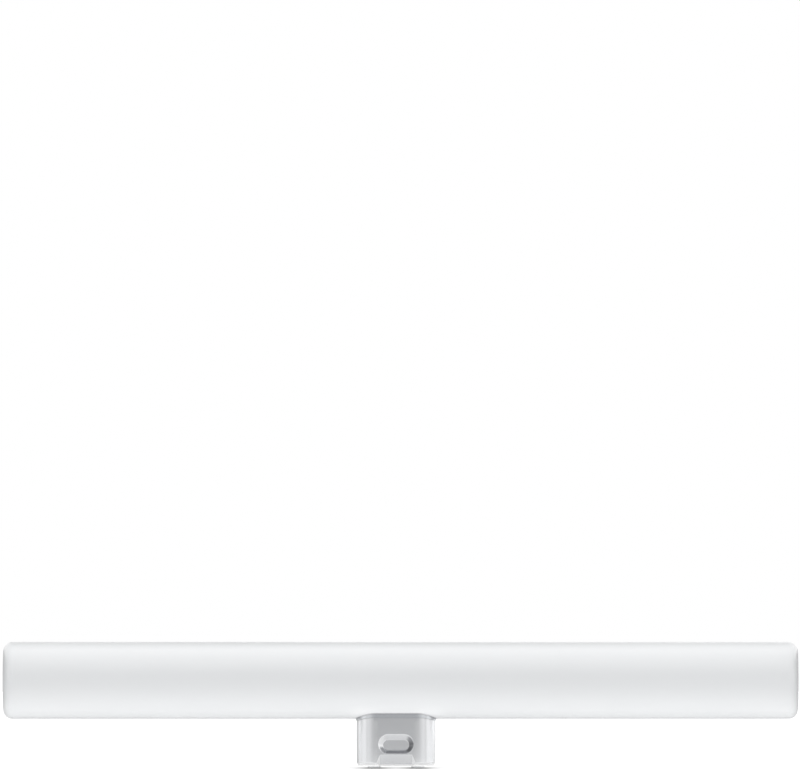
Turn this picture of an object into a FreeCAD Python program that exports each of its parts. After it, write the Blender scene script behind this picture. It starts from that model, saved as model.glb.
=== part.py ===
import FreeCAD, Part
import math
import os

# Straight opal line lamp with one two-contact cap in the middle of its underside.
# X runs along the tube, Y from the front to the back, Z up. The origin is the point on the cap's
# axis that lies level with the undersides of the contacts. All sizes are in millimetres.

# Lamp tube
tube_length = 300.0
tube_diameter = 29.0
tube_end_round = 3.5
tube_offset = 1.7            # middle of the tube, to the right of the cap's axis

# Cap shell
cap_length = 29.7
cap_depth = 14.4             # across the flat sides
cap_height = 17.0            # from the rim to the lowest line of the tube
cap_wall = 1.0
cap_rim_round = 0.6

# Saddle lip round the top of the shell
lip_overhang = 0.3
lip_face_height = 1.4        # on the flat sides
lip_end_height = 0.6         # on the round ends

# Latch pocket in each flat side
pocket_straight = 5.9        # distance between the centres of its round ends
pocket_mouth_radius = 3.6
pocket_floor_radius = 2.0
pocket_depth = 1.3
pocket_centre_height = 7.6   # above the rim
pocket_floor_drop = 0.4      # the floor's centre lies lower than the mouth's
pocket_floor_round = 0.5
pocket_mouth_chamfer = 0.2

# Lead-in ramp between each pocket and the rim
ramp_width = 12.0
ramp_depth = 1.7             # at the rim
ramp_spread = 1.7            # how far each side bevel widens the ramp at the rim
latch_land = 0.35            # flat land between the pocket's mouth and the ramp

# Insulating plate in the shell's mouth
plate_thickness = 0.75       # of the flange that shows under the rim
plate_inset = 0.4            # flange inside the shell's outline
plug_height = 2.5
plug_clearance = 0.1

# Contact buttons
contact_outset = 0.55        # from the centre of each round end of the cap
contact_diameter = 5.0
contact_height = 0.85        # below the plate
contact_edge_chamfer = 0.4
shank_diameter = 2.4
shank_clearance = 0.05
clinch_diameter = 3.8
clinch_height = 0.6

# Levels and planes that follow from the sizes above
rim_z = contact_height + plate_thickness
tube_radius = tube_diameter / 2
tube_axis_z = rim_z + cap_height + tube_radius
flat_y = -cap_depth / 2      # plane of the front flat side
pocket_z = rim_z + pocket_centre_height
pocket_slope = (pocket_mouth_radius - pocket_floor_radius) / pocket_depth
ramp_top_z = pocket_z - pocket_mouth_radius - latch_land
ramp_height = ramp_top_z - rim_z
ramp_slope = ramp_depth / ramp_height
contact_x = (cap_length - cap_depth) / 2 + contact_outset
cut_margin = 1.0             # how far cutting tools reach past the faces they open

X = FreeCAD.Vector(1, 0, 0)
Z = FreeCAD.Vector(0, 0, 1)


def point(x, y, z=0.0):
    return FreeCAD.Vector(x, y, z)


def stadium(straight, radius):
    """Closed outline in the XY plane: two straight sides joined by half-circles."""
    half = straight / 2
    sides = [
        Part.LineSegment(point(-half, -radius), point(half, -radius)),
        Part.Arc(point(half, -radius), point(half + radius, 0), point(half, radius)),
        Part.LineSegment(point(half, radius), point(-half, radius)),
        Part.Arc(point(-half, radius), point(-half - radius, 0), point(-half, -radius)),
    ]
    return Part.Wire([side.toShape() for side in sides])


def cap_column(inset, low, high):
    """Upright column with the cap's plan, moved in by inset all round."""
    outline = stadium(cap_length - cap_depth, cap_depth / 2 - inset)
    outline.translate(point(0, 0, low))
    return Part.Face(outline).extrude(Z * (high - low))


def front_and_back(tool):
    back = tool.copy()
    back.rotate(point(0, 0), Z, 180)
    return tool.fuse(back)


def edges_at(shape, test):
    """Edges of which every end and the middle pass the test."""
    found = []
    for edge in shape.Edges:
        first, last = edge.ParameterRange
        samples = [edge.valueAt(first), edge.valueAt((first + last) / 2), edge.valueAt(last)]
        if all(test(sample) for sample in samples):
            found.append(edge)
    return found


def near(value, target):
    return abs(value - target) < 1e-4


# Lamp tube

def make_tube():
    """Half profile turned about the tube's axis: flat ends, rounded into the wall."""
    half = tube_length / 2
    round_x = half - tube_end_round
    round_r = tube_radius - tube_end_round
    bulge = tube_end_round * math.sin(math.radians(45))
    profile = [
        Part.LineSegment(point(-half, 0), point(-half, round_r)),
        Part.Arc(point(-half, round_r), point(-round_x - bulge, round_r + bulge), point(-round_x, tube_radius)),
        Part.LineSegment(point(-round_x, tube_radius), point(round_x, tube_radius)),
        Part.Arc(point(round_x, tube_radius), point(round_x + bulge, round_r + bulge), point(half, round_r)),
        Part.LineSegment(point(half, round_r), point(half, 0)),
        Part.LineSegment(point(half, 0), point(-half, 0)),
    ]
    face = Part.Face(Part.Wire([line.toShape() for line in profile]))
    tube = face.revolve(point(0, 0), X, 360)
    tube.translate(point(tube_offset, 0, tube_axis_z))
    return tube


# Cap shell

def pocket_section(y, radius):
    """Outline of the latch pocket at one depth, square to Y."""
    outline = stadium(pocket_straight, radius)
    outline.rotate(point(0, 0), X, 90)
    drop = pocket_floor_drop * (y - flat_y) / pocket_depth
    outline.translate(point(0, y, pocket_z - drop))
    return outline


def pocket_tool(wall=0.0):
    """Tapered plug that sinks the front pocket. With a wall it is that much bigger all round, and its
    inner end stays sharp."""
    side_growth = wall * math.sqrt(1 + pocket_slope ** 2)
    outer_y = flat_y - cut_margin
    floor_y = flat_y + pocket_depth + wall
    outer_radius = pocket_mouth_radius + pocket_slope * cut_margin + side_growth
    floor_radius = pocket_floor_radius - pocket_slope * wall + side_growth
    sections = [pocket_section(outer_y, outer_radius), pocket_section(floor_y, floor_radius)]
    tool = Part.makeLoft(sections, True, True)
    if wall:
        return tool
    return tool.makeFillet(pocket_floor_round, edges_at(tool, lambda sample: near(sample.y, floor_y)))


def on_pocket_mouth(sample):
    within_length = abs(sample.x) < pocket_straight / 2 + pocket_mouth_radius + latch_land / 2
    within_height = abs(sample.z - pocket_z) < pocket_mouth_radius + latch_land / 2
    return near(abs(sample.y), cap_depth / 2) and within_length and within_height


def ramp_tool(wall=0.0):
    """Wedge under the front pocket with a sloping back and two bevelled sides that open downwards.
    With a wall each of its planes lies that much further in."""
    back_shift = wall * math.sqrt(1 + ramp_slope ** 2)
    side_shift = wall * math.sqrt(1 + (ramp_spread / ramp_depth) ** 2 + (ramp_spread / ramp_height) ** 2)
    face_y = flat_y + back_shift
    half = ramp_width / 2 + side_shift - ramp_spread * back_shift / ramp_depth
    outer_y = face_y - cut_margin
    low_z = -cut_margin
    top_z = ramp_top_z + cut_margin / ramp_slope
    inner_y = face_y + (ramp_top_z - low_z) * ramp_slope
    low_half = half + ramp_spread * (top_z - low_z) / ramp_height
    top_left, top_right = point(-half, outer_y, top_z), point(half, outer_y, top_z)
    low_left, low_right = point(-low_half, outer_y, low_z), point(low_half, outer_y, low_z)
    in_left, in_right = point(-half, inner_y, low_z), point(half, inner_y, low_z)
    loops = [
        [top_left, top_right, low_right, low_left],
        [top_left, in_left, in_right, top_right],
        [low_left, low_right, in_right, in_left],
        [top_left, low_left, in_left],
        [top_right, in_right, low_right],
    ]
    faces = [Part.Face(Part.makePolygon(loop + loop[:1])) for loop in loops]
    return Part.Solid(Part.Shell(faces))


def make_lip():
    """Band round the top of the shell. Its upper face is cut by the tube later, and its lower face
    is a flatter curve, so that the band is taller on the flat sides than on the round ends."""
    half_depth = cap_depth / 2 + lip_overhang
    tube_rise = tube_radius - math.sqrt(tube_radius ** 2 - half_depth ** 2)
    lower_rise = tube_rise + lip_end_height - lip_face_height
    lower_radius = (half_depth ** 2 + lower_rise ** 2) / (2 * lower_rise)
    lower_axis_z = rim_z + cap_height - lip_end_height + lower_radius
    lower_curve = Part.makeCylinder(lower_radius, cap_length * 2, point(-cap_length, 0, lower_axis_z), X)
    return cap_column(-lip_overhang, rim_z, tube_axis_z).common(lower_curve)


def make_shell():
    body = cap_column(0, rim_z, tube_axis_z)
    body = body.makeFillet(cap_rim_round, edges_at(body, lambda sample: near(sample.z, rim_z)))
    body = body.cut(front_and_back(pocket_tool()))
    body = body.makeChamfer(pocket_mouth_chamfer, edges_at(body, on_pocket_mouth))
    body = body.cut(front_and_back(ramp_tool()))
    hollow = cap_column(cap_wall, 0, tube_axis_z)
    hollow = hollow.cut(front_and_back(pocket_tool(cap_wall))).cut(front_and_back(ramp_tool(cap_wall)))
    shell = body.fuse(make_lip()).cut(make_tube()).cut(hollow)
    return shell.removeSplitter()


# Insulating plate

def make_plate():
    flange = cap_column(plate_inset, contact_height, rim_z)
    flange = flange.cut(front_and_back(ramp_tool(plate_inset)))
    plug = cap_column(cap_wall + plug_clearance, rim_z, rim_z + plug_height)
    notch_half = ramp_width / 2 + ramp_spread + cap_wall + plug_clearance
    ramp_wall = cap_wall * math.sqrt(1 + ramp_slope ** 2)
    notch_back = flat_y + ramp_depth + ramp_wall + plug_clearance
    notch = Part.makeBox(notch_half * 2, notch_back - flat_y, plug_height, point(-notch_half, flat_y, rim_z))
    plate = flange.fuse(plug.cut(front_and_back(notch)))
    for x in (-contact_x, contact_x):
        hole = Part.makeCylinder(shank_diameter / 2 + shank_clearance, rim_z + plug_height, point(x, 0, 0))
        plate = plate.cut(hole)
    return plate.removeSplitter()


# Contacts

def make_contact(x):
    """Turned rivet: round button under the plate, shank through it and tail clinched above the plug."""
    button_r = contact_diameter / 2
    shank_r = shank_diameter / 2
    clinch_r = clinch_diameter / 2
    plug_top = rim_z + plug_height
    tail_top = plug_top + clinch_height
    profile = [
        point(0, 0, 0),
        point(button_r, 0, 0),
        point(button_r, 0, contact_height),
        point(shank_r, 0, contact_height),
        point(shank_r, 0, plug_top),
        point(clinch_r, 0, plug_top),
        point(clinch_r, 0, tail_top),
        point(0, 0, tail_top),
    ]
    contact = Part.Face(Part.makePolygon(profile + profile[:1])).revolve(point(0, 0), Z, 360)
    contact = contact.makeChamfer(contact_edge_chamfer, edges_at(contact, lambda sample: near(sample.z, 0)))
    contact.translate(point(x, 0, 0))
    return contact


def build():
    return {
        "opal_tube": make_tube(),
        "cap_shell": make_shell(),
        "contact_plate": make_plate(),
        "contact_left": make_contact(-contact_x),
        "contact_right": make_contact(contact_x),
    }


os.makedirs("parts", exist_ok=True)
for name, shape in build().items():
    shape.exportStep("parts/" + name + ".step")
    box = shape.BoundBox
    print(name, shape.isValid(), len(shape.Solids), round(shape.Volume, 2),
          [round(v, 3) for v in (box.XMin, box.YMin, box.ZMin, box.XMax, box.YMax, box.ZMax)])
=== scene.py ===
import bpy
import math
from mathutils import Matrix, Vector


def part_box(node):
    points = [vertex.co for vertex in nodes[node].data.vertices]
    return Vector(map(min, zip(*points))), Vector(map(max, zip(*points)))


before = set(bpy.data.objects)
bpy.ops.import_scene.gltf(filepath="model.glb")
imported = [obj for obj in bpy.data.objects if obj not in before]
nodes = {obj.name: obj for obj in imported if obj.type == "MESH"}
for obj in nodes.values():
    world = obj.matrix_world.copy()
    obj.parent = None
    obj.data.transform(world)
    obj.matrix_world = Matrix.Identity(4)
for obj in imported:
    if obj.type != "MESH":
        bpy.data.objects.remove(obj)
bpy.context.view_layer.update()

print("frame loaded with", ", ".join(sorted(nodes)))


# Shader maths

class Wire:
    # A socket that takes part in Python sums: each operator adds one Math node
    def __init__(self, finish, socket):
        self.finish = finish
        self.socket = socket

    def maths(self, operation, first, second):
        settings = {"operation": operation}
        return self.finish.node("ShaderNodeMath", settings, {0: first, 1: second})["Value"]

    def __add__(self, other):
        return self.maths("ADD", self, other)

    def __radd__(self, other):
        return self.maths("ADD", other, self)

    def __sub__(self, other):
        return self.maths("SUBTRACT", self, other)

    def __rsub__(self, other):
        return self.maths("SUBTRACT", other, self)

    def __mul__(self, other):
        return self.maths("MULTIPLY", self, other)

    def __rmul__(self, other):
        return self.maths("MULTIPLY", other, self)

    def __truediv__(self, other):
        return self.maths("DIVIDE", self, other)

    def __rtruediv__(self, other):
        return self.maths("DIVIDE", other, self)

    def __pow__(self, other):
        return self.maths("POWER", self, other)


class Finish:
    # The node tree of one material, or of the world
    def __init__(self, tree):
        self.tree = tree
        tree.nodes.clear()

    def node(self, kind, settings=None, sockets=None):
        made = self.tree.nodes.new(kind)
        for key, value in (settings or {}).items():
            if key == "stops":
                ramp = made.color_ramp
                while len(ramp.elements) < len(value):
                    ramp.elements.new(0.5)
                for element, (place, colour) in zip(ramp.elements, value):
                    element.position = place
                    element.color = (*colour, 1.0)
            else:
                setattr(made, key, value)
        for key, value in (sockets or {}).items():
            if isinstance(value, Wire):
                self.tree.links.new(value.socket, made.inputs[key])
            else:
                made.inputs[key].default_value = value
        return {out.name: Wire(self, out) for out in made.outputs if out.enabled}

    def blend(self, factor, under, over):
        # One colour over another; a plain number stands for a grey
        colours = [rgba((part,) * 3) if isinstance(part, float) else part for part in (under, over)]
        sockets = {"Factor": factor, 6: colours[0], 7: colours[1]}
        return self.node("ShaderNodeMix", {"data_type": "RGBA"}, sockets)["Result"]

    def noise(self, place, scale, detail):
        sockets = {"Vector": place, "Scale": scale, "Detail": detail}
        return self.node("ShaderNodeTexNoise", {}, sockets)["Fac"]

    def larger(self, first, second):
        return self.node("ShaderNodeMath", {"operation": "MAXIMUM"}, {0: first, 1: second})["Value"]

    def smooth(self, value, start, end):
        # 0 up to start, 1 from end on, and an even S between them
        sockets = {"Value": value, "From Min": start, "From Max": end}
        return self.node("ShaderNodeMapRange", {"interpolation_type": "SMOOTHSTEP"}, sockets)["Result"]

    def bump(self, distance):
        # 1 at no distance, and falling to 0 as it grows past 1
        return self.node("ShaderNodeMath", {"operation": "EXPONENT"}, {0: distance * -1.0})["Value"]

    def unsigned(self, value):
        return self.node("ShaderNodeMath", {"operation": "ABSOLUTE"}, {0: value})["Value"]

    def within(self, value, reach):
        # 1 where the value is nearer to 0 than reach, otherwise 0
        sockets = {0: self.unsigned(value), 1: reach}
        return self.node("ShaderNodeMath", {"operation": "LESS_THAN"}, sockets)["Value"]

    def openness(self, reach):
        # 1 on open surfaces, and less in corners that are closer than reach
        return self.node("ShaderNodeAmbientOcclusion", {"samples": 16}, {"Distance": reach})["AO"]

    def softened(self, radius):
        # Normals as if every edge were rounded to this radius
        return self.node("ShaderNodeBevel", {"samples": 6}, {"Radius": radius})["Normal"]


def newMaterial(name):
    material = bpy.data.materials.new(name)
    material.use_nodes = True
    return material, Finish(material.node_tree)


def dress(nodeName, material):
    for slot in nodes[nodeName].material_slots:
        slot.material = material
    print("dressed", nodeName, "with", material.name)


def rgba(colour):
    return (*colour, 1.0)


# Opal tube: white glass, drawn along its length, with a soft satin gloss

opalGlass = {
    "thickWhite": (0.822, 0.832, 0.840),
    "thinWhite": (0.806, 0.819, 0.830),    # where the white layer is a little thinner
    "seatPaintedLight": (0.926, 0.932, 0.938),    # painted light round the seat of the cap, against the shade that the cap casts on the tube
    "seatWidth": 0.0165,
    "seatTop": 0.0203,
    "seatFade": 0.0024,
    "seamShade": (0.250, 0.255, 0.270),         # painted shade in the seam round the cap's lip
    "seamReach": 0.0014,
    "seamFade": 3.0,
    "cloudSize": 45.0,                     # clouds of the white layer, per metre
    "glassIndex": 1.5,
    "roughness": 0.32,
    "roughnessChange": 0.05,
    "skinRoughness": 0.28,                 # of the clear glass over the white layer
    "drawLines": 900.0,                    # fine lines round the girth, per metre
    "drawStretch": 0.02,                   # how far the lines are drawn out along the tube
    "lineDepth": 0.0000025,
}


def makeOpalGlass(look):
    material, f = newMaterial("opalGlass")
    place = f.node("ShaderNodeTexCoord")["Object"]
    clouds = f.noise(place, look["cloudSize"], 3.0)
    stretch = (look["drawStretch"], 1.0, 1.0)
    drawn = f.node("ShaderNodeVectorMath", {"operation": "MULTIPLY"}, {0: place, 1: stretch})["Vector"]
    lines = f.noise(drawn, look["drawLines"], 2.0)
    parts = f.node("ShaderNodeSeparateXYZ", {}, {"Vector": place})
    above = f.larger(parts["Z"] - look["seatTop"], 0.0)
    seat = f.bump((above / look["seatFade"]) ** 2.0) * f.bump((parts["X"] / look["seatWidth"]) ** 8.0)
    white = f.blend(clouds, rgba(look["thinWhite"]), rgba(look["thickWhite"]))
    # painted light: the tube is lighter round the seat of the cap
    white = f.blend(seat, white, rgba(look["seatPaintedLight"]))
    height = f.node("ShaderNodeBump", {}, {"Height": lines, "Distance": look["lineDepth"], "Strength": 1.0})
    shader = f.node("ShaderNodeBsdfPrincipled", {}, {
        # painted shade: darker in the seam where the lip meets the tube
        "Base Color": f.blend(f.openness(look["seamReach"]) ** look["seamFade"], rgba(look["seamShade"]), white),
        "Roughness": look["roughness"] + look["roughnessChange"] * (lines - 0.5),
        "IOR": look["glassIndex"],
        "Coat Weight": 1.0,
        "Coat Roughness": look["skinRoughness"],
        "Coat IOR": look["glassIndex"],
        "Normal": height["Normal"],
    })
    f.node("ShaderNodeOutputMaterial", {}, {"Surface": shader["BSDF"]})
    return material


dress("opal_tube", makeOpalGlass(opalGlass))


# Cap shell: thin drawn metal with a fine satin plating, worn lighter along its edges, with painted
# highlights and painted shade

capMetal = {
    "plating": (0.790, 0.797, 0.812),
    # lighter where worn, and the colour of the painted highlights
    "wearAndHighlight": (0.930, 0.934, 0.940),
    "creviceShade": (0.530, 0.535, 0.550),      # painted shade in crevices and under the lip
    "creviceReach": 0.0009,
    "creviceFade": 2.0,
    "ledgeShade": (0.345, 0.350, 0.365),    # painted shade on the pocket ledges that face up
    "sideShade": (0.330, 0.335, 0.350),
    "deepSideShade": (0.115, 0.117, 0.123),     # the painted shade on the side walls is darkest low down
    "sideLow": 0.0080,
    "sideHigh": 0.0112,
    "ledgeLift": 0.06,
    "facingFrom": 0.12,
    "facingTo": 0.42,
    "roughness": 0.25,
    "roughnessChange": 0.06,
    "rubbedRoughness": 0.21,
    "litWallRoughness": 0.22,                # added on the pocket walls with the painted highlight
    "grain": 5200.0,                       # satin grain, per metre
    "grainDepth": 0.0000035,
    "cloudSize": 160.0,
    "edgeSize": 0.0001,                    # softened edges
    "edgeRub": 6.0,
    "leastRub": 0.4,
    "rimLevel": 0.0027,                    # the rim below it gets a painted highlight, outside the ramps
    "rimFade": 0.0006,
    "rimFrom": 0.0074,
    "lipLevel": 0.0178,                    # the lip above it has crisp edges
    "lip": (0.700, 0.715, 0.742),          # and is painted a little darker, as shade under the tube
    "lipLow": 0.01795,                     # its lower edge at the middle of the round ends
    "lipRise": 0.0012,                     # and how much higher that is at the flat sides
    "flankReach": 0.0079,                  # the ramps' flanks get a painted highlight too
    "flankTop": 0.0057,
    "flankTurn": 0.4,
    "turnPlace": 0.0077,                   # and so do the lines where the flat sides turn into the ends
    "turnWidth": 0.0009,
    "turnHighlight": 0.62,
    "pocketLow": 0.0053,                   # the pockets lie between these levels
    "pocketHigh": 0.0130,
    "pocketReach": 0.0070,
    "flatSide": 0.00718,                   # and inside the planes of the flat sides
}


def makeCapMetal(look):
    material, f = newMaterial("capMetal")
    place = f.node("ShaderNodeTexCoord")["Object"]
    grain = f.noise(place, look["grain"], 2.0)
    clouds = f.noise(place, look["cloudSize"], 4.0)
    rounded = f.softened(look["edgeSize"])
    flat = f.node("ShaderNodeNewGeometry")["Normal"]
    parts = f.node("ShaderNodeSeparateXYZ", {}, {"Vector": place})
    faces = f.node("ShaderNodeSeparateXYZ", {}, {"Vector": flat})
    belowLip = f.node("ShaderNodeMath", {"operation": "LESS_THAN"},
                      {0: parts["Z"], 1: look["lipLevel"]})["Value"]
    soft = f.node("ShaderNodeMix", {"data_type": "VECTOR"},
                  {"Factor": belowLip, 4: flat, 5: rounded})["Result"]
    agree = f.node("ShaderNodeVectorMath", {"operation": "DOT_PRODUCT"}, {0: soft, 1: flat})["Value"]
    rim = (look["rimLevel"] - parts["Z"]) / look["rimFade"] * (1.0 - f.within(parts["X"], look["rimFrom"]))
    flank = (
        f.within(parts["X"], look["flankReach"])
        * f.within(parts["Z"], look["flankTop"])
        * (1.0 - f.within(faces["X"], look["flankTurn"])))
    fromTurn = f.unsigned(parts["X"]) - look["turnPlace"]
    turn = f.bump((fromTurn / look["turnWidth"]) ** 2.0) * look["turnHighlight"] * belowLip
    # worn lighter along the edges, and painted highlights on the rim, the ramps' flanks and the turns of
    # the flat sides
    wearAndHighlights = f.larger(f.larger((1.0 - agree) * look["edgeRub"], rim), f.larger(flank, turn))
    edge = f.node("ShaderNodeClamp", {}, {"Value": wearAndHighlights * (clouds + look["leastRub"])})["Result"]
    lipEdge = look["lipLow"] + look["lipRise"] * (parts["Y"] / look["flatSide"]) ** 2.0
    onLip = f.node("ShaderNodeMath", {"operation": "GREATER_THAN"}, {0: parts["Z"], 1: lipEdge})["Value"]
    # painted shade: the lip is darker
    plain = f.blend(onLip, rgba(look["plating"]), rgba(look["lip"]))
    polished = f.blend(edge, plain, rgba(look["wearAndHighlight"]))
    # painted shade: darker in crevices and under the lip
    inOpen = f.openness(look["creviceReach"]) ** look["creviceFade"]
    plated = f.blend(inOpen, rgba(look["creviceShade"]), polished)
    middle = (look["pocketLow"] + look["pocketHigh"]) / 2
    inPocket = (
        f.within(parts["X"], look["pocketReach"])
        * f.within(parts["Y"], look["flatSide"])
        * f.within(parts["Z"] - middle, look["pocketHigh"] - middle))
    sideways = faces["X"] * parts["Y"] / look["flatSide"]
    # painted highlight on the pocket walls that face one way, painted shade on the ledges and on the walls
    # that face the other way
    litWall, shadedLedge, shadedSide = [
        f.smooth(amount, look["facingFrom"], look["facingTo"]) * inPocket
        for amount in (sideways * -1.0, faces["Z"] + look["ledgeLift"], sideways)]
    # painted highlight on the pocket walls that face one way
    colour = f.blend(litWall, plated, rgba(look["wearAndHighlight"]))
    colour = f.blend(shadedLedge, colour, rgba(look["ledgeShade"]))
    climb = f.smooth(parts["Z"], look["sideLow"], look["sideHigh"])
    side = f.blend(climb, rgba(look["deepSideShade"]), rgba(look["sideShade"]))
    colour = f.blend(shadedSide, colour, side)
    height = f.node("ShaderNodeBump", {}, {"Height": grain, "Distance": look["grainDepth"], "Normal": soft})
    worn = look["rubbedRoughness"] - look["roughness"]
    roughness = look["roughness"] + look["roughnessChange"] * (clouds - 0.5)
    shader = f.node("ShaderNodeBsdfPrincipled", {}, {
        "Base Color": colour,
        "Metallic": 1.0,
        "Roughness": roughness + worn * edge + look["litWallRoughness"] * litWall,
        "Normal": height["Normal"],
    })
    f.node("ShaderNodeOutputMaterial", {}, {"Surface": shader["BSDF"]})
    return material


dress("cap_shell", makeCapMetal(capMetal))


# Insulating plate: pale moulded plastic with a matt, slightly pitted skin

insulator = {
    "pale": (0.935, 0.938, 0.935),
    "dustAndShade": (0.775, 0.778, 0.775),        # painted shade between the ramps, and dust in specks elsewhere
    "specks": 0.3,
    "shadeReach": 0.0066,
    "dustSize": 220.0,
    "roughness": 0.52,
    "roughnessChange": 0.12,
    "pitting": 3600.0,
    "pitDepth": 0.000006,
    "edgeSize": 0.0002,
}


def makeInsulator(look):
    material, f = newMaterial("insulatingPlastic")
    place = f.node("ShaderNodeTexCoord")["Object"]
    pits = f.noise(place, look["pitting"], 3.0)
    dust = f.noise(place, look["dustSize"], 5.0)
    soft = f.softened(look["edgeSize"])
    acrossX = f.node("ShaderNodeSeparateXYZ", {}, {"Vector": place})["X"]
    # painted shade between the ramps, with dust specks elsewhere
    grey = f.larger(dust * look["specks"], f.within(acrossX, look["shadeReach"]))
    height = f.node("ShaderNodeBump", {}, {"Height": pits, "Distance": look["pitDepth"], "Normal": soft})
    shader = f.node("ShaderNodeBsdfPrincipled", {}, {
        "Base Color": f.blend(grey, rgba(look["pale"]), rgba(look["dustAndShade"])),
        "Roughness": look["roughness"] + look["roughnessChange"] * (pits - 0.5),
        "Normal": height["Normal"],
    })
    f.node("ShaderNodeOutputMaterial", {}, {"Surface": shader["BSDF"]})
    return material


dress("contact_plate", makeInsulator(insulator))


# Contact buttons: nickel plate over turned metal, with rings of the tool round each button's axis

contactMetal = {
    "nickel": (0.870, 0.880, 0.892),
    "tarnish": (0.775, 0.780, 0.790),
    "stainSize": 900.0,
    "stainDepth": 0.6,
    "roughness": 0.36,
    "roughnessChange": 0.10,
    "ringPitch": 0.00012,
    "ringDepth": 0.0000035,
    "edgeSize": 0.00025,
}


def makeContactMetal(look, axisX):
    material, f = newMaterial("contactNickel")
    place = f.node("ShaderNodeTexCoord")["Object"]
    parts = f.node("ShaderNodeSeparateXYZ", {}, {"Vector": place})
    offset = parts["X"] - axisX
    reach = (offset * offset + parts["Y"] * parts["Y"]) ** 0.5
    turns = reach * (2 * math.pi / look["ringPitch"])
    wave = f.node("ShaderNodeMath", {"operation": "SINE"}, {0: turns})["Value"]
    stain = f.noise(place, look["stainSize"], 5.0)
    soft = f.softened(look["edgeSize"])
    height = f.node("ShaderNodeBump", {}, {"Height": wave, "Distance": look["ringDepth"], "Normal": soft})
    shader = f.node("ShaderNodeBsdfPrincipled", {}, {
        "Base Color": f.blend(stain * look["stainDepth"], rgba(look["nickel"]), rgba(look["tarnish"])),
        "Metallic": 1.0,
        "Roughness": look["roughness"] + look["roughnessChange"] * (stain - 0.5),
        "Normal": height["Normal"],
    })
    f.node("ShaderNodeOutputMaterial", {}, {"Surface": shader["BSDF"]})
    return material


def middleX(nodeName):
    low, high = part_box(nodeName)
    return (low[0] + high[0]) / 2


for button in ("contact_left", "contact_right"):
    dress(button, makeContactMetal(contactMetal, middleX(button)))


# Room: white all round, as it is seen, mirrored and cast on matt surfaces

room = {
    "seenWhite": 1.0,
    "castWhite": 1.05,
}


def makeRoom(look):
    world = bpy.data.worlds.new("whiteRoom")
    bpy.context.scene.world = world
    world.use_nodes = True
    f = Finish(world.node_tree)
    path = f.node("ShaderNodeLightPath")
    plain = path["Is Camera Ray"] + path["Is Glossy Ray"] + path["Is Transmission Ray"]
    seen = f.node("ShaderNodeClamp", {}, {"Value": plain})["Result"]
    colour = f.blend(seen, look["castWhite"] / 2, look["seenWhite"] / 2)
    back = f.node("ShaderNodeBackground", {}, {"Color": colour, "Strength": 2.0})
    f.node("ShaderNodeOutputWorld", {}, {"Surface": back["Background"]})


makeRoom(room)


# Table: pale and glowing, with a lit patch under the lamp and painted contact shade round the buttons

table = {
    "size": 3.0,
    "contactX": middleX("contact_right"),
    "tableColour": (0.55, 0.55, 0.55),
    "tableGlow": 0.62,                     # the table's own glow in the picture
    "underGlow": 0.87,                     # lit patch that lights the lamp from below
    "patchMiddle": -0.024,
    "patchDepth": 0.035,
    "sideGlow": 0.22,                      # the same patch as glossy surfaces mirror it
    "capGlow": 0.39,                       # in front of the cap
    "stripWidth": 0.0205,
    "gapGlow": 1.00,                       # and under it
    "gapDepth": 0.0048,
    "endGlow": 0.20,                       # added beside the round ends of the cap
    "middleWidth": 0.0130,
    "touchShade": 0.0036,                       # painted shade where each button stands, as glossy surfaces mirror the table
    "shade": 0.84,                         # painted contact shade on the table, round each button
    "shadeWidth": 0.0057,
    "shadeDepth": 0.0120,
    "pool": 0.16,                          # and the wider, softer shade of the cap
    "poolWidth": 0.0175,
    "poolDepth": 0.0135,
}


def addSheet(name, corners, faces, material):
    mesh = bpy.data.meshes.new(name)
    mesh.from_pydata(corners, [], faces)
    sheet = bpy.data.objects.new(name, mesh)
    bpy.context.scene.collection.objects.link(sheet)
    mesh.materials.append(material)
    return sheet


def flatSheet(name, centre, across, up, material):
    centre, across, up = Vector(centre), Vector(across), Vector(up)
    corners = [centre - across - up, centre + across - up, centre + across + up, centre - across + up]
    return addSheet(name, corners, [(0, 1, 2, 3)], material)


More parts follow.
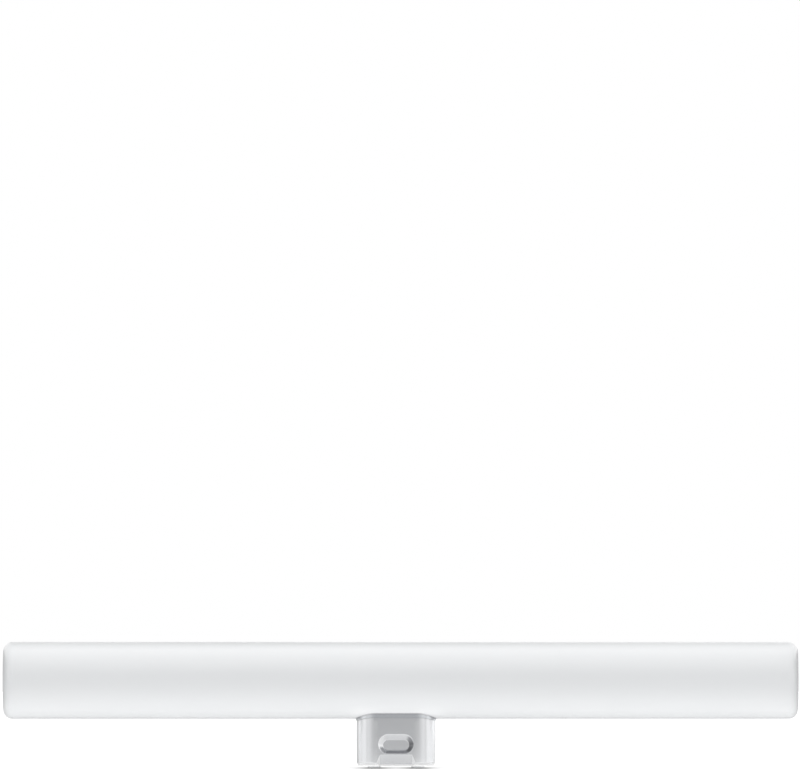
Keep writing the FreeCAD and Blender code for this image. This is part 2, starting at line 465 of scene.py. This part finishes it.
def makeTable(look):
    material, f = newMaterial("paleTable")
    path = f.node("ShaderNodeLightPath")
    inPicture = path["Is Camera Ray"]
    inGloss = path["Is Glossy Ray"]
    place = f.node("ShaderNodeSeparateXYZ", {}, {"Vector": f.node("ShaderNodeTexCoord")["Object"]})
    patch = f.bump(((place["Y"] - look["patchMiddle"]) / look["patchDepth"]) ** 2.0)
    strip = f.bump((place["X"] / look["stripWidth"]) ** 4.0)
    under = f.bump((place["Y"] / look["gapDepth"]) ** 4.0)
    ends = look["endGlow"] * (1.0 - f.bump((place["X"] / look["middleWidth"]) ** 4.0))
    near = look["capGlow"] - look["sideGlow"] + ends + under * (look["gapGlow"] - look["capGlow"])
    beside = f.unsigned(place["X"]) - look["contactX"]
    touchShade = f.bump(((beside * beside + place["Y"] * place["Y"]) / look["touchShade"] ** 2) ** 2.0)
    shade = f.bump((place["Y"] / look["shadeDepth"]) ** 2.0) * (
        f.bump(((place["X"] - look["contactX"]) / look["shadeWidth"]) ** 2.0)
        + f.bump(((place["X"] + look["contactX"]) / look["shadeWidth"]) ** 2.0))
    pool = f.bump((place["X"] / look["poolWidth"]) ** 4.0) * f.bump((place["Y"] / look["poolDepth"]) ** 2.0)
    # painted shadow: the table is darker round the buttons and under the cap, in the picture only
    unshaded = 1.0 - inPicture * (shade * look["shade"] + pool * look["pool"])
    glow = (
        inPicture * unshaded * look["tableGlow"]
        + inGloss * patch * (1.0 - touchShade) * (look["sideGlow"] + strip * near)
        + (1.0 - inPicture - inGloss) * patch * look["underGlow"])
    grey = f.node("ShaderNodeCombineColor", {}, {"Red": glow, "Green": glow, "Blue": glow})["Color"]
    shader = f.node("ShaderNodeBsdfPrincipled", {}, {
        "Base Color": f.blend(unshaded, 0.0, rgba(look["tableColour"])),
        "Roughness": 1.0,
        "Specular IOR Level": 0.0,
        "Emission Color": grey,
        "Emission Strength": 1.0,
    })
    f.node("ShaderNodeOutputMaterial", {}, {"Surface": shader["BSDF"]})
    half = look["size"] / 2
    flatSheet("paleTable", (0, 0, 0), (half, 0, 0), (0, half, 0), material)


makeTable(table)


# Light tent: a half cylinder of white cloth over the lamp, graded from the front over the top to the back

tent = {
    "radius": 0.9,
    "axisHeight": 0.033,
    "halfWidth": 1.2,
    "steps": 60,
    "firstAngle": -2.0,                    # from the camera's side, over the top, to the back
    "lastAngle": 160.0,
    "frontTint": (0.965, 0.990, 1.030),    # the dark front is a little blue
    "tintTo": 30,
    "brightness": {0: 0.33, 12: 0.34, 24: 0.475, 36: 0.86, 48: 1.24, 60: 1.36, 75: 1.40, 90: 1.57,
                   100: 1.60, 110: 1.32, 120: 0.73, 135: 0.34, 150: 0.31, 165: 0.55, 180: 0.79},
    "sideBrightness": 1.10,
    "mirroredLeft": 1.17,                  # the same sides as glossy surfaces mirror them
    "mirroredRight": 1.29,
    "darkMiddle": -0.03,                   # the dark front is a little to the left
    "sideFrom": -0.10,                     # where the grading towards the sides starts and ends
    "sideTo": 0.85,
}


def makeTent(look):
    material, f = newMaterial("lightTent")
    place = f.node("ShaderNodeSeparateXYZ", {}, {"Vector": f.node("ShaderNodeTexCoord")["Object"]})
    height = place["Z"] - look["axisHeight"]
    angle = f.node("ShaderNodeMath", {"operation": "ARCTAN2"}, {0: height, 1: place["Y"] * -1.0})["Value"]
    stops = []
    for degrees, level in look["brightness"].items():
        tint = look["frontTint"] if degrees < look["tintTo"] else (1.0, 1.0, 1.0)
        stops.append((degrees / 180, [part * level / 2 for part in tint]))
    graded = f.node("ShaderNodeValToRGB", {"stops": stops}, {"Fac": angle / math.pi})["Color"]
    reach = f.smooth(f.unsigned(place["X"] - look["darkMiddle"]), look["sideFrom"], look["sideTo"])
    ends = {"Value": place["X"], "From Min": -look["sideTo"], "From Max": look["sideTo"]}
    across = f.node("ShaderNodeMapRange", {}, ends)["Result"]
    mirrored = f.blend(across, look["mirroredLeft"] / 2, look["mirroredRight"] / 2)
    inGloss = f.node("ShaderNodeLightPath")["Is Glossy Ray"]
    side = f.blend(inGloss, look["sideBrightness"] / 2, mirrored)
    colour = f.blend(reach, graded, side)
    light = f.node("ShaderNodeEmission", {}, {"Color": colour, "Strength": 2.0})["Emission"]
    f.node("ShaderNodeOutputMaterial", {}, {"Surface": light})
    corners, faces = [], []
    sweep = look["lastAngle"] - look["firstAngle"]
    for step in range(look["steps"] + 1):
        turned = math.radians(look["firstAngle"] + sweep * step / look["steps"])
        y = -look["radius"] * math.cos(turned)
        z = look["axisHeight"] + look["radius"] * math.sin(turned)
        corners += [(-look["halfWidth"], y, z), (look["halfWidth"], y, z)]
        if step:
            last = 2 * step
            faces.append((last - 2, last - 1, last + 1, last))
    sheet = addSheet("lightTent", corners, faces, material)
    sheet.visible_camera = False


makeTent(tent)


# Cards: white cards on both sides, and dark flags that draw the tube's ends

cards = {
    # name: centre, half across, half up, brightness, brightness as glossy surfaces mirror it
    "leftCard": ((-1.0, -0.22, 0.25), (0, 0.37, 0), (0, 0, 0.25), 1.08, 1.55),
    "leftRear": ((-1.0, 0.45, 0.25), (0, 0.30, 0), (0, 0, 0.25), 1.10, 1.85),
    "rightCard": ((1.0, -0.30, 0.25), (0, 0.19, 0), (0, 0, 0.25), 1.30, 1.68),
    "rightRear": ((1.0, 0.37, 0.25), (0, 0.48, 0), (0, 0, 0.25), 1.32, 2.00),
    "rightEdge": ((1.0, 1.45, 0.25), (0, 0.60, 0), (0, 0, 0.25), 1.00, 2.30),
    "backFlag": ((-0.14, 0.88, 0.10), (0.10, 0, 0), (0, 0, 0.12), 0.2, 0.2),
    "leftFlag": ((-0.157, 0.012, 0.034), (0, 0.030, 0), (0, 0, 0.014), 0.45, 0.45),
    "rightFlag": ((0.160, 0.012, 0.034), (0, 0.030, 0), (0, 0, 0.014), 0.45, 0.45),
}


def makeCards(looks):
    for name, (centre, across, up, brightness, mirrored) in looks.items():
        material, f = newMaterial(name)
        inGloss = f.node("ShaderNodeLightPath")["Is Glossy Ray"]
        colour = f.blend(inGloss, brightness / 2, mirrored / 2)
        light = f.node("ShaderNodeEmission", {}, {"Color": colour, "Strength": 2.0})
        f.node("ShaderNodeOutputMaterial", {}, {"Surface": light["Emission"]})
        card = flatSheet(name, centre, across, up, material)
        card.visible_camera = False
        card.visible_diffuse = name != "backFlag"    # or it would shade the table behind the lamp


makeCards(cards)
print("studio set up")


# Camera: level, far off and square to the tube, with the lamp low in the picture

view = {
    "distance": 6.0,
    "frameWidth": 0.30213,                  # what the picture spans at the tube
    "centreX": 0.00149,
    "centreZ": 0.14429,
    "sensor": 36.0,
    "clipEnd": 50.0,
}

cameraData = bpy.data.cameras.new("pictureCamera")
cameraData.sensor_width = view["sensor"]
cameraData.lens = view["sensor"] * view["distance"] / view["frameWidth"]
cameraData.clip_end = view["clipEnd"]
camera = bpy.data.objects.new("pictureCamera", cameraData)
camera.location = (view["centreX"], -view["distance"], view["centreZ"])
camera.rotation_euler = (math.radians(90), 0, 0)
bpy.context.scene.collection.objects.link(camera)
bpy.context.scene.camera = camera
bpy.context.scene.view_settings.view_transform = "Standard"
print("camera set")
